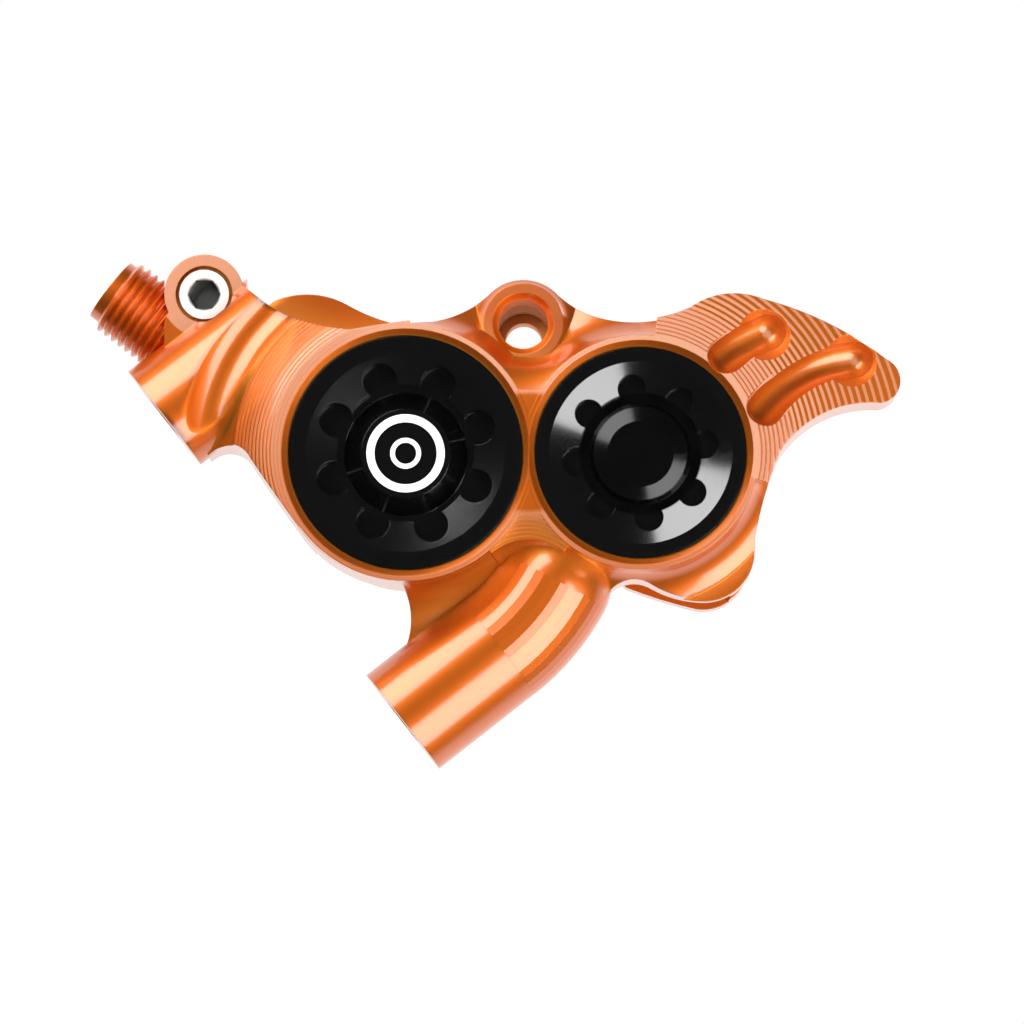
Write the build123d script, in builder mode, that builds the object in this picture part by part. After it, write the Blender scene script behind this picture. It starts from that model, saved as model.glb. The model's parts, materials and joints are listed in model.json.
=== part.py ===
from build123d import *

import os
from math import cos, radians, sin, sqrt

os.makedirs("parts", exist_ok=True)

# Frame: the origin is midway between the two threaded mounting holes, on the mounting face.
# +Z is the mounting face's normal into the caliper, +X runs along the line of the holes and
# +Y runs along the wheel axle, from the outer side of the caliper to the inner side.

# Mounting posts
hole_spacing = 34.0
post_radius = 5.2
tap_radius = 2.1
tap_depth = 12.0
front_post_length = 16.0
rear_post_run = 10.6
elbow_radius = 18.0
elbow_turn = 24.0
elbow_facets = 40
facet_stand = 0.03

# Place of the two bores over the mounting face, and the lean of their line to the hole line
bore_mid_x = 5.3
bore_mid_z = 22.6
lean = 51.9

# Depths along the axle, counted from the plane of the mounting holes
face_height = 7.0
slot_width = 6.4
pocket_clearance = 0.25
flange_thickness = 3.8
web_height = 1.0
lug_height = 2.6
lug_radius = 3.5
lug_skirt = 3.0
lobe_depth = 4.0
inner_plate_thickness = 5.4
overrun = 1.0

# Rotor
rotor_radius = 80.0
rotor_rise = 8.7
rotor_clearance = 2.0

# Large and small bore: pistons, caps and the bosses round them
large_piston_radius = 8.0
small_piston_radius = 7.0
cap_margin = 2.2
cap_spacing = 1.1
cap_thread_step = 0.9
cap_flange = 1.5
cap_height = 4.2
cap_sink = 0.35
boss_wall = 1.05
mouth_chamfer = 0.6
bore_clearance = 0.05
seat_clearance = 0.03
shoulder_width = 3.8
shoulder_drop = 1.5
shoulder_treads = 12
shoulder_tread_share = 0.6
shoulder_start_angle = 88.0
shoulder_sweep_angle = 127.0
large_skirt = 4.0
small_skirt = 2.6
skirt_start = 5.2
cove_reach = 17.45
cove_height = 6.5
cove_radius = 2.55
cove_start_angle = 115.0
cove_sweep_angle = 85.0
saddle_skirt = 5.2
large_saddle_start_angle = 26.0
large_saddle_sweep_angle = 62.0
small_saddle_start_angle = 82.0
small_saddle_sweep_angle = 68.0
inner_boss_wall = 2.1
inner_floor = 1.3
piston_cap_gap = 0.22
piston_floor_gap = 1.47

# Dished faces and sockets of the caps
large_rim_width = 1.5
large_dish_depth = 1.1
large_socket_margin = 2.0
large_socket_depth = 2.4
large_lobe_radius = 1.5
large_lobe_drop = 2.2
large_ring_width = 2.1
large_hub_height = 1.5
large_hub_dish = 0.0
large_cone_width = 1.5
large_lobe_angle = 19.5
small_rim_width = 1.2
small_dish_depth = 1.3
small_socket_margin = 2.3
small_socket_depth = 2.0
small_lobe_radius = 1.25
small_lobe_drop = 1.6
small_ring_width = 1.2
small_hub_height = 0.9
small_hub_dish = 0.4
small_cone_width = 0.3
small_lobe_angle = 7.6
lobe_count = 8
hub_bowl_share = 0.7
hub_middle_share = 0.4
cap_seal_radius = 0.5
cap_recess = 0.5

# Pistons
piston_length = 5.4
piston_wall = 1.5
piston_recess_depth = 3.4
piston_chamfer = 0.3
insert_flange = 0.8
insert_plug_depth = 1.2
insert_margin = 0.4
insert_clearance = 0.03
seal_width = 2.0
seal_height = 1.2
seal_step = 2.6
seal_clearance = 0.03

# Brake pads
pad_gap = 2.5
lining_thickness = 2.0
plate_thickness = 1.75
pad_play = 0.4
lining_margin = 0.7
lining_crop = 1.3
lining_slit = 1.4
ear_width = 8.4
ear_hole_radius = 2.4
window_width = 17.0
pocket_rise = 0.4

# Pad pin bore
pin_rise_share = 0.571
pin_bore_radius = 2.2
pin_mouth_radius = 2.7
pin_tap_radius = 1.65

# Pad spring
spring_thickness = 0.3
spring_width = 3.0
spring_reach = 13.2
spring_drop = 0.8
spring_arm_height = 1.7
spring_clearance = 0.05

# Bleed lug and screw
bleed_share = (-1.366, 0.698)
bleed_lug_radius = 3.5
bleed_lug_height = 2.3
bleed_counterbore_radius = 2.5
bleed_counterbore_depth = 1.3
bleed_head_radius = 2.18
bleed_head_height = 1.1
bleed_thread_radius = 1.9
bleed_length = 5.6
bleed_hex = 2.5
hex_sides = 6
bleed_hex_depth = 1.7
bleed_sink_radius = 1.52
bleed_sink_depth = 0.3
bleed_seal_radius = 0.2
bleed_clearance = 0.04

# Hose stub
stub_share = (-1.776, 0.741)
stub_depth = 2.5
stub_turn = -38.0
stub_radius = 3.15
stub_tip_radius = 2.95
stub_tip_length = 1.1
stub_thread_run = 2.6
stub_relief = 0.25
stub_length = 11.0
stub_bore_radius = 1.3
stub_cone_radius = 2.1
stub_cone_depth = 1.6
stub_bore_depth = 8.0

# Tail with its turned ridges
tail_reach = 24.6
tail_first_drop = 2.9
tail_first_width = 3.2
tail_drop = 3.4
ridge_count = 26
ridge_growth_share = 1.0
tread_share_near = 0.62
tread_share_far = 0.34
tail_start_angle = -13.0
tail_sweep_angle = 96.0
groove_radius = 1.6
groove_wall_step = 0.06
groove_sink = 1.1
groove_depth_share = 0.35
lip_radius = 2.7
lip_rise = 2.0

# Outlines in the plane of the bores, in shares of bore_spacing: each second point is the middle of an arc
front_shares = [
    (-1.185, 0.722), (-0.956, 0.573), (-0.732, 0.524), (-0.566, 0.552), (-0.385, 0.571),
    (-0.254, 0.622), (-0.151, 0.693), (0.0, 0.760), (0.151, 0.693), (0.439, 0.575),
    (0.756, 0.659), (0.878, 0.695), (1.029, 0.673), (1.307, 0.573), (1.556, 0.422),
    (1.615, 0.322), (1.527, 0.232), (1.263, 0.171), (1.093, 0.005), (1.034, -0.161),
    (0.990, -0.356), (0.932, -0.541), (0.761, -0.607), (0.644, -0.588), (0.551, -0.549),
    (0.449, -0.529), (0.371, -0.571), (0.317, -0.668), (0.224, -0.741), (-0.146, -0.849),
    (-0.507, -0.824), (-0.480, -0.678), (-0.517, -0.544), (-0.776, -0.476), (-0.951, -0.322),
    (-1.062, -0.167), (-1.161, -0.022), (-1.234, 0.039), (-1.346, 0.010), (-1.488, 0.210),
    (-1.624, 0.420), (-1.640, 0.500), (-1.541, 0.556), (-1.390, 0.732),
]
inner_shares = [
    (-1.132, 0.439), (-1.151, 0.605), (-1.068, 0.702), (-0.912, 0.727), (-0.761, 0.683),
    (-0.615, 0.617), (-0.415, 0.580), (-0.259, 0.620), (-0.146, 0.698), (0.0, 0.760),
    (0.146, 0.698), (0.439, 0.573), (0.766, 0.666), (0.907, 0.693), (1.034, 0.629),
    (1.073, 0.244), (1.020, -0.098), (1.000, -0.268), (0.976, -0.400), (0.907, -0.556),
    (0.751, -0.600), (0.605, -0.561), (0.449, -0.507), (0.010, -0.337), (-0.434, -0.478),
    (-0.761, -0.420), (-0.937, -0.224), (-1.063, 0.088),
]
cove_shares = [(-0.732, 1.3), (-1.185, 1.3)]
short_groove_shares = [(0.864, 0.416), (0.950, 0.480), (1.045, 0.530)]
long_groove_shares = [(1.030, 0.195), (1.176, 0.329), (1.420, 0.420)]

# Places worked out from the sizes above
lean_cos = cos(radians(lean))
lean_sin = sin(radians(lean))
large_cap_radius = large_piston_radius + cap_margin
small_cap_radius = small_piston_radius + cap_margin
bore_spacing = large_cap_radius + small_cap_radius + cap_spacing
pin_rise = pin_rise_share * bore_spacing
rotor_drop = rotor_radius - rotor_rise
plate_back = pad_gap / 2 + lining_thickness + plate_thickness
nose = plate_back + insert_clearance
piston_rim = nose + insert_flange
piston_end = piston_rim + piston_length
plate_radius = large_piston_radius - pad_play
lining_radius = plate_radius - lining_margin
lining_top = lining_radius - lining_crop
spring_top = rotor_rise + rotor_clearance - spring_drop
pocket_top = large_piston_radius + pocket_rise
pocket_width = 2 * (plate_back + pocket_clearance)
face = face_height
cap_foot = face - cap_sink - cap_height
rotor_plane = cap_foot - piston_cap_gap - piston_end
inner_face = rotor_plane - piston_end - piston_floor_gap - inner_floor
body_width = face - inner_face
slot_front = rotor_plane + slot_width / 2
slot_back = rotor_plane - slot_width / 2
pocket_front = rotor_plane + pocket_width / 2
pocket_back = rotor_plane - pocket_width / 2
inner_plate_back = slot_back - inner_plate_thickness
large_boss_radius = large_cap_radius + boss_wall
small_boss_radius = small_cap_radius + boss_wall
arc_middle_share = 1 - sqrt(1 / 2)

u_dir = Vector(lean_cos, 0, lean_sin)
v_dir = Vector(-lean_sin, 0, lean_cos)
w_dir = Vector(0, -1, 0)
bore_mid = Vector(bore_mid_x, 0, bore_mid_z)
plan = Plane(origin=bore_mid, x_dir=u_dir, z_dir=w_dir)
large_bore = (-bore_spacing / 2, 0)
small_bore = (bore_spacing / 2, 0)
pin_place = (0, pin_rise)
bleed_place = (bleed_share[0] * bore_spacing, bleed_share[1] * bore_spacing)
stub_place = (stub_share[0] * bore_spacing, stub_share[1] * bore_spacing)
bores = (
    ("large", large_bore, large_piston_radius, large_cap_radius),
    ("small", small_bore, small_piston_radius, small_cap_radius),
)


def level(height):
    """The plan plane, moved along the axle to a height over the plane of the mounting holes."""
    return plan.offset(height)


def place(point, height=0):
    """A point of the plan plane in the frame of the part."""
    return bore_mid + u_dir * point[0] + v_dir * point[1] + w_dir * height


def spread(share):
    """A point of an outline, from its shares of the bore spacing."""
    return (share[0] * bore_spacing, share[1] * bore_spacing)


def radial(point, angle):
    """A plane through a bore's axis: x is the distance from the axis, y the height."""
    x_dir = u_dir * cos(radians(angle)) + v_dir * sin(radians(angle))
    return Plane(origin=place(point), x_dir=x_dir, z_dir=x_dir.cross(w_dir))


def axle_axis(point):
    """The axis of a bore, along the axle."""
    return Axis(place(point), w_dir)


def arc_loop(shares):
    """A closed line of arcs through an outline's points."""
    points = [spread(share) for share in shares]
    for start in range(0, len(points), 2):
        end = points[(start + 2) % len(points)]
        ThreePointArc(points[start], points[start + 1], end)


def turned(point, profile, angle=0, sweep=360):
    """Adds a body turned about a bore's axis from a list of (radius, height) corners."""
    with BuildSketch(radial(point, angle)) as section:
        with BuildLine():
            Polyline(*profile, close=True)
        make_face()
    revolve(section.sketch, axis=axle_axis(point), revolution_arc=sweep)


def skirted_boss(point, corners, skirt, angle=0, sweep=360):
    """Adds a boss turned from its corners. From the last one it runs out in a hollow on the web."""
    radius, start = corners[-1]
    outer = radius + skirt
    foot = (outer, web_height)
    hollow = (radius + skirt * arc_middle_share, web_height + (start - web_height) * arc_middle_share)
    with BuildSketch(radial(point, angle)) as section:
        with BuildLine():
            top_middle = (0, corners[0][1])
            Polyline(*corners[::-1], top_middle, (0, slot_front), (outer, slot_front), foot)
            ThreePointArc(foot, hollow, (radius, start))
        make_face()
    revolve(section.sketch, axis=axle_axis(point), revolution_arc=sweep)


def shoulder_profile():
    """Fine turned treads of the shoulder round the large boss, falling more and more steeply."""
    pitch = shoulder_width / shoulder_treads
    corners = [(large_boss_radius, face)]
    for index in range(shoulder_treads):
        height = face - shoulder_drop * (index / shoulder_treads) ** 2
        radius = large_boss_radius + pitch * index
        corners.append((radius + pitch * shoulder_tread_share, height))
        next_height = face - shoulder_drop * ((index + 1) / shoulder_treads) ** 2
        corners.append((radius + pitch, next_height))
    return corners


def tail_height(radius):
    """The tail's height at a distance from the small bore: steep near the boss, then flatter."""
    first_end = small_boss_radius + tail_first_width
    if radius < first_end:
        return face - tail_first_drop * (radius - small_boss_radius) / tail_first_width
    return face - tail_first_drop - tail_drop * (radius - first_end) / (tail_reach - first_end)


def ridge_profile():
    """Treads and slopes of the tail's turned ridges, wider towards the tip."""
    weights = [1 + ridge_growth_share * index / (ridge_count - 1) for index in range(ridge_count)]
    unit = (tail_reach - small_boss_radius) / sum(weights)
    corners = []
    radius = small_boss_radius
    for index, weight in enumerate(weights):
        part_way = index / (ridge_count - 1)
        tread = tread_share_near + (tread_share_far - tread_share_near) * part_way
        height = tail_height(radius)
        corners.append((radius, height))
        corners.append((radius + unit * weight * tread, height))
        radius += unit * weight
    corners.append((radius, tail_height(radius)))
    return corners


with BuildSketch(level(slot_front)) as front_outline:
    with BuildLine():
        arc_loop(front_shares)
    make_face()
    with Locations(large_bore):
        Circle(large_boss_radius)
    with Locations(small_bore):
        Circle(small_boss_radius)
    with Locations(bleed_place):
        Circle(bleed_lug_radius)

# Body: the outer half is a flange, turned bosses and a ridged tail, cut to the front outline
with BuildPart() as caliper_body:
    large_wall = [(large_boss_radius, face), (large_boss_radius, skirt_start)]
    small_wall = [(small_boss_radius, face), (small_boss_radius, skirt_start)]
    shoulder_angles = (shoulder_start_angle, shoulder_sweep_angle)
    skirted_boss(large_bore, large_wall, large_skirt)
    skirted_boss(small_bore, small_wall, small_skirt)
    skirted_boss(large_bore, shoulder_profile(), large_skirt, *shoulder_angles)
    large_saddle_angles = (large_saddle_start_angle, large_saddle_sweep_angle)
    small_saddle_angles = (small_saddle_start_angle, small_saddle_sweep_angle)
    skirted_boss(large_bore, large_wall[:1], saddle_skirt, *large_saddle_angles)
    skirted_boss(small_bore, small_wall[:1], saddle_skirt, *small_saddle_angles)
    turned(
        small_bore,
        [(0, face)] + ridge_profile() + [(tail_reach, slot_front), (0, slot_front)],
        tail_start_angle,
        tail_sweep_angle,
    )
    skirted_boss(pin_place, [(lug_radius, lug_height)], lug_skirt)
    with BuildSketch(level(slot_front)):
        with Locations(pin_place):
            Rectangle(bore_spacing, pin_rise, align=(Align.CENTER, Align.MAX))
    extrude(amount=web_height - slot_front)
    extrude(front_outline.sketch, amount=flange_thickness)
    with BuildSketch(level(slot_front)):
        with BuildLine():
            side_corners = [(bleed_place[0], -post_radius), (stub_place[0], 0)]
            Polyline(bleed_place, large_bore, *side_corners, close=True)
        make_face()
    extrude(amount=web_height - slot_front)
    with BuildSketch(level(slot_front)):
        with BuildLine():
            lower_corners = [(0, -bore_spacing), (-bore_spacing / 2, -bore_spacing)]
            Polyline(large_bore, small_bore, *lower_corners, close=True)
        make_face()
    extrude(amount=web_height - slot_front)
    with BuildSketch(level(slot_front)):
        with Locations(bleed_place):
            Circle(bleed_lug_radius)
            Rectangle(2 * bleed_lug_radius, 2 * bleed_lug_radius, align=(Align.CENTER, Align.MAX))
    extrude(amount=bleed_lug_height - slot_front)
    extrude(front_outline.sketch, amount=body_width, mode=Mode.INTERSECT)

    # The front post is a round boss whose far end the cove over the shoulder cuts
    with BuildSketch(Plane.XY):
        with Locations((-hole_spacing / 2, 0)):
            Circle(post_radius)
    extrude(amount=front_post_length)
    with BuildSketch(level(slot_front)):
        with BuildLine():
            cove = [spread(share) for share in front_shares[:3]]
            ThreePointArc(*cove)
            Polyline(cove[2], spread(cove_shares[0]), spread(cove_shares[1]), cove[0])
        make_face()
    extrude(amount=body_width, mode=Mode.SUBTRACT)

    # A turned cove runs round the shoulder and across the front post
    with BuildSketch(radial(large_bore, cove_start_angle)):
        with Locations((cove_reach, cove_height)):
            Circle(cove_radius)
    cove_turn = axle_axis(large_bore)
    revolve(axis=cove_turn, revolution_arc=cove_sweep_angle, mode=Mode.SUBTRACT)

    # The rear post runs straight from its face, then bends up to a round end between the bores
    with BuildSketch(Plane.XY):
        with Locations((hole_spacing / 2, 0)):
            Circle(post_radius)
    extrude(amount=rear_post_run)
    with BuildLine(Plane.XZ) as elbow_line:
        bend_start = (hole_spacing / 2, rear_post_run)
        JernArc(bend_start, (0, 1), elbow_radius, elbow_turn)
    with BuildSketch(Plane.XY.offset(rear_post_run)):
        with Locations((hole_spacing / 2, 0)):
            RegularPolygon(post_radius + facet_stand, elbow_facets)
    sweep(path=elbow_line.line)
    with Locations(elbow_line.line @ 1):
        Sphere(post_radius)

    # The inner half hangs from a bridge over the rotor's rim
    with BuildSketch(level(inner_plate_back)) as inner_outline:
        with BuildLine():
            arc_loop(inner_shares)
        make_face()
    extrude(amount=inner_plate_thickness)
    with BuildSketch(level(slot_back)):
        with BuildLine():
            arc_loop(inner_shares)
        make_face()
        with Locations((0, -rotor_drop)):
            Circle(rotor_radius + rotor_clearance, mode=Mode.SUBTRACT)
    extrude(amount=-lobe_depth - slot_back)
    for size, bore, piston_radius, cap_radius in bores:
        with BuildSketch(level(inner_face)):
            with Locations(bore):
                Circle(piston_radius + inner_boss_wall)
        extrude(amount=slot_back - inner_face)

    # Hose stub: a plain tip, the threaded run and a relieved neck in the body beside the bleed lug
    stub_dir = u_dir * cos(radians(stub_turn)) + v_dir * sin(radians(stub_turn))
    stub_plane = Plane(origin=place(stub_place, -stub_depth), x_dir=w_dir, z_dir=stub_dir)
    with BuildSketch(stub_plane):
        Circle(stub_tip_radius)
    extrude(amount=stub_tip_length)
    with BuildSketch(stub_plane.offset(stub_tip_length)):
        Circle(stub_radius)
    extrude(amount=stub_thread_run)
    with BuildSketch(stub_plane.offset(stub_tip_length + stub_thread_run)):
        Circle(stub_radius - stub_relief)
    extrude(amount=stub_length - stub_tip_length - stub_thread_run)

    # Pad pocket, open to the rotor, and the window in the bridge for the pad ears
    pad_half = bore_spacing / 2 + large_piston_radius
    with BuildSketch(level(pocket_back)):
        with Locations((0, pocket_top)):
            Rectangle(2 * pad_half, 2 * bore_spacing, align=(Align.CENTER, Align.MAX))
    extrude(amount=pocket_width, mode=Mode.SUBTRACT)
    with BuildSketch(level(pocket_back)):
        Rectangle(window_width, 2 * bore_spacing, align=(Align.CENTER, Align.MIN))
    extrude(amount=pocket_width, mode=Mode.SUBTRACT)

    # Bores, each with its seal groove in both halves, and the cap's seat at the outer end
    for size, bore, piston_radius, cap_radius in bores:
        bore_radius = piston_radius + bore_clearance
        thread_radius = cap_radius - cap_thread_step
        groove_depth = piston_radius + seal_height + seat_clearance
        with BuildSketch(level(inner_face + inner_floor)):
            with Locations(bore):
                Circle(bore_radius)
        extrude(amount=cap_foot - inner_face - inner_floor, mode=Mode.SUBTRACT)
        with BuildSketch(level(cap_foot - seat_clearance)):
            with Locations(bore):
                Circle(thread_radius + seat_clearance)
        extrude(amount=cap_height + overrun, mode=Mode.SUBTRACT)
        with BuildSketch(level(face - cap_sink - cap_flange)):
            with Locations(bore):
                Circle(cap_radius + seat_clearance)
        extrude(amount=cap_flange + overrun, mode=Mode.SUBTRACT)
        with BuildSketch(radial(bore, 0)):
            with BuildLine():
                Polyline(
                    (0, face - mouth_chamfer),
                    (cap_radius + seat_clearance, face - mouth_chamfer),
                    (cap_radius + seat_clearance + mouth_chamfer, face),
                    (0, face),
                    close=True,
                )
            make_face()
        revolve(axis=axle_axis(bore), mode=Mode.SUBTRACT)
        for groove_start in (pocket_front + seal_step, pocket_back - seal_step - seal_width):
            with BuildSketch(level(groove_start - seat_clearance)):
                with Locations(bore):
                    Circle(groove_depth)
            extrude(amount=seal_width + 2 * seat_clearance, mode=Mode.SUBTRACT)

    # Pad pin bore: plain with a mouth in the outer lug, tapped in the inner lug
    with BuildSketch(level(pocket_front)):
        with Locations(pin_place):
            Circle(pin_bore_radius)
    extrude(amount=lug_height - pocket_front + overrun, mode=Mode.SUBTRACT)
    with BuildSketch(radial(pin_place, 0)):
        with BuildLine():
            mouth_depth = pin_mouth_radius - pin_bore_radius
            Polyline(
                (0, lug_height - mouth_depth),
                (pin_bore_radius, lug_height - mouth_depth),
                (pin_mouth_radius, lug_height),
                (0, lug_height),
                close=True,
            )
        make_face()
    revolve(axis=axle_axis(pin_place), mode=Mode.SUBTRACT)
    with BuildSketch(level(inner_face)):
        with Locations(pin_place):
            Circle(pin_tap_radius)
    extrude(amount=pocket_back - inner_face, mode=Mode.SUBTRACT)

    # Threaded mounting holes
    with BuildSketch(Plane.XY):
        with Locations((-hole_spacing / 2, 0), (hole_spacing / 2, 0)):
            Circle(tap_radius)
    extrude(amount=tap_depth, mode=Mode.SUBTRACT)

    # Bleed screw's counterbore and thread, and its drilling to the large bore
    with BuildSketch(level(bleed_lug_height - bleed_counterbore_depth)):
        with Locations(bleed_place):
            Circle(bleed_counterbore_radius)
    extrude(amount=bleed_counterbore_depth + overrun, mode=Mode.SUBTRACT)
    with BuildSketch(level(bleed_lug_height - bleed_length)):
        with Locations(bleed_place):
            Circle(bleed_thread_radius + bleed_clearance)
    extrude(amount=bleed_length, mode=Mode.SUBTRACT)

    # Hose inlet with its cone
    with BuildSketch(stub_plane):
        Circle(stub_bore_radius)
    extrude(amount=stub_bore_depth, mode=Mode.SUBTRACT)
    with Locations(Location(stub_plane)):
        Cone(
            stub_cone_radius,
            stub_bore_radius,
            stub_cone_depth,
            align=(Align.CENTER, Align.CENTER, Align.MIN),
            mode=Mode.SUBTRACT,
        )

    # Curved grooves of the tail, with ball ends, a wider lip at the far end and a wall near the boss
    for groove_shares in (short_groove_shares, long_groove_shares):
        points = [spread(share) for share in groove_shares]
        reaches = [sqrt((u - small_bore[0]) ** 2 + v**2) for u, v in points]
        near_height = tail_height(reaches[0]) - groove_sink - groove_radius * groove_depth_share
        far_height = tail_height(reaches[2]) - groove_radius * groove_depth_share
        heights = (near_height, (near_height + far_height) / 2, far_height)
        route = [place(point, height) for point, height in zip(points, heights)]
        with BuildLine() as groove_line:
            ThreePointArc(*route)
        with BuildSketch(Plane(origin=groove_line.line @ 0, z_dir=groove_line.line % 0)):
            Circle(groove_radius)
        sweep(path=groove_line.line, mode=Mode.SUBTRACT)
        with Locations(route[0], route[-1]):
            Sphere(groove_radius, mode=Mode.SUBTRACT)
        with Locations(route[-1] + w_dir * lip_rise):
            Sphere(lip_radius, mode=Mode.SUBTRACT)
        with BuildSketch(level(near_height)):
            SlotArc(Edge.make_three_point_arc(*points), 2 * (groove_radius + groove_wall_step))
        extrude(amount=face, mode=Mode.SUBTRACT)
caliper_body.part.label = "caliper_body"
export_step(caliper_body.part, "parts/caliper_body.step")


def lobed_disc(reach, valley, lobe_radius, angle):
    """Adds the outline of a cap's socket: a disc with round lobes."""
    Circle(valley)
    with PolarLocations(reach - lobe_radius, lobe_count, angle):
        Circle(lobe_radius)


# Bore caps: a threaded plug under a flange, with a dished face and a lobed socket round a hub
top = face - cap_sink
dishes = ((large_rim_width, large_dish_depth), (small_rim_width, small_dish_depth))
sockets = (
    (large_socket_margin, large_socket_depth, large_ring_width),
    (small_socket_margin, small_socket_depth, small_ring_width),
)
lobes = (
    (large_lobe_radius, large_lobe_drop, large_lobe_angle),
    (small_lobe_radius, small_lobe_drop, small_lobe_angle),
)
hubs = (
    (large_hub_height, large_hub_dish, large_cone_width),
    (small_hub_height, small_hub_dish, small_cone_width),
)
for index, (size, bore, piston_radius, cap_radius) in enumerate(bores):
    rim_width, dish_depth = dishes[index]
    socket_margin, depth, ring_width = sockets[index]
    lobe_radius, lobe_drop, lobe_angle = lobes[index]
    hub_height, hub_dish, cone_width = hubs[index]
    reach = cap_radius - socket_margin
    valley = reach - lobe_drop
    hub_radius = valley - ring_width
    hub_top = top - depth + hub_height
    thread_radius = cap_radius - cap_thread_step
    seal_room = 2 * cap_seal_radius + seat_clearance
    dish_radius = cap_radius - rim_width
    bowl = [(hub_radius * hub_bowl_share, hub_top - hub_dish)] if hub_dish else []
    with BuildPart() as cap:
        turned(
            bore,
            [
                (0, cap_foot + cap_recess),
                (thread_radius - seal_room - cap_recess, cap_foot + cap_recess),
                (thread_radius - seal_room - cap_recess, cap_foot),
                (thread_radius - seal_room, cap_foot),
                (thread_radius - seal_room, cap_foot + seal_room),
                (thread_radius, cap_foot + seal_room),
                (thread_radius, top - cap_flange),
                (cap_radius, top - cap_flange),
                (cap_radius, top),
                (dish_radius, top),
                (hub_radius, top - dish_depth),
                (0, top - dish_depth),
            ],
        )
        with BuildSketch(level(top - depth)):
            with Locations(bore):
                lobed_disc(reach, valley, lobe_radius, lobe_angle)
        extrude(amount=depth, mode=Mode.SUBTRACT)
        turned(
            bore,
            [
                (0, hub_top - hub_dish * hub_middle_share),
                *bowl,
                (hub_radius, hub_top),
                (hub_radius + cone_width, top - depth),
                (0, top - depth),
            ],
        )
    cap.part.label = "bore_cap_" + size
    export_step(cap.part, f"parts/bore_cap_{size}.step")
    with BuildPart() as cap_seal:
        with Locations(Location(level(cap_foot + cap_seal_radius + seat_clearance / 2))):
            with Locations(bore):
                Torus(thread_radius - cap_seal_radius, cap_seal_radius)
    cap_seal.part.label = "cap_seal_" + size
    export_step(cap_seal.part, f"parts/cap_seal_{size}.step")

# Pistons with their insulating noses and seals, in the outer half and the inner half
for half, side in (("outer", 1), ("inner", -1)):
    for size, bore, piston_radius, cap_radius in bores:
        recess_radius = piston_radius - piston_wall
        with BuildPart() as piston:
            turned(
                bore,
                [
                    (0, rotor_plane + side * (piston_rim + piston_recess_depth)),
                    (recess_radius, rotor_plane + side * (piston_rim + piston_recess_depth)),
                    (recess_radius, rotor_plane + side * piston_rim),
                    (piston_radius, rotor_plane + side * piston_rim),
                    (piston_radius, rotor_plane + side * (piston_end - piston_chamfer)),
                    (piston_radius - piston_chamfer, rotor_plane + side * piston_end),
                    (0, rotor_plane + side * piston_end),
                ],
            )
        piston.part.label = f"piston_{half}_{size}"
        export_step(piston.part, f"parts/piston_{half}_{size}.step")
        plug_radius = recess_radius - insert_clearance
        with BuildPart() as insert:
            turned(
                bore,
                [
                    (0, rotor_plane + side * nose),
                    (piston_radius - insert_margin, rotor_plane + side * nose),
                    (piston_radius - insert_margin, rotor_plane + side * piston_rim),
                    (plug_radius, rotor_plane + side * piston_rim),
                    (plug_radius, rotor_plane + side * (piston_rim + insert_plug_depth)),
                    (0, rotor_plane + side * (piston_rim + insert_plug_depth)),
                ],
            )
        insert.part.label = f"insert_{half}_{size}"
        export_step(insert.part, f"parts/insert_{half}_{size}.step")
        seal_near = pocket_width / 2 + seal_step
        with BuildPart() as seal:
            turned(
                bore,
                [
                    (piston_radius + seal_clearance, rotor_plane + side * seal_near),
                    (piston_radius + seal_height, rotor_plane + side * seal_near),
                    (piston_radius + seal_height, rotor_plane + side * (seal_near + seal_width)),
                    (piston_radius + seal_clearance, rotor_plane + side * (seal_near + seal_width)),
                ],
            )
        seal.part.label = f"seal_{half}_{size}"
        export_step(seal.part, f"parts/seal_{half}_{size}.step")

# Brake pads: an eared backing plate with a friction block, one on each side of the rotor
for half, side in (("outer", 1), ("inner", -1)):
    lining_face = rotor_plane + side * pad_gap / 2
    joint_face = lining_face + side * lining_thickness
    with BuildPart() as pad_plate:
        with BuildSketch(level(joint_face)):
            SlotCenterToCenter(bore_spacing, 2 * plate_radius)
            Rectangle(ear_width, pin_rise, align=(Align.CENTER, Align.MIN))
            with Locations(pin_place):
                Circle(ear_width / 2)
                Circle(ear_hole_radius, mode=Mode.SUBTRACT)
        extrude(amount=side * plate_thickness)
    pad_plate.part.label = "pad_plate_" + half
    export_step(pad_plate.part, f"parts/pad_plate_{half}.step")
    with BuildPart() as pad_lining:
        with BuildSketch(level(lining_face)):
            SlotCenterToCenter(bore_spacing, 2 * lining_radius)
            with Locations((0, lining_top)):
                above = (Align.CENTER, Align.MIN)
                Rectangle(2 * bore_spacing, lining_radius, align=above, mode=Mode.SUBTRACT)
            Rectangle(lining_slit, 2 * plate_radius, mode=Mode.SUBTRACT)
        extrude(amount=side * lining_thickness)
    pad_lining.part.label = "pad_lining_" + half
    export_step(pad_lining.part, f"parts/pad_lining_{half}.step")

# Pad spring: a saddle over the rotor's rim, with arms that lie along the backing plates
spring_half = pad_gap / 2 + lining_thickness - spring_clearance
spring_leg = spring_top - lining_top - spring_clearance
with BuildPart() as pad_spring:
    with BuildSketch(level(rotor_plane - spring_half)):
        with Locations((0, spring_top)):
            Rectangle(spring_width, spring_thickness, align=(Align.CENTER, Align.MAX))
    extrude(amount=2 * spring_half)
    for side in (1, -1):
        with BuildSketch(level(rotor_plane + side * spring_half)):
            with Locations((0, spring_top)):
                Rectangle(spring_width, spring_leg, align=(Align.CENTER, Align.MAX))
            with Locations((0, lining_top + spring_clearance)):
                Rectangle(2 * spring_reach, spring_arm_height, align=(Align.CENTER, Align.MIN))
        extrude(amount=-side * spring_thickness)
pad_spring.part.label = "pad_spring"
export_step(pad_spring.part, "parts/pad_spring.step")

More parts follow.
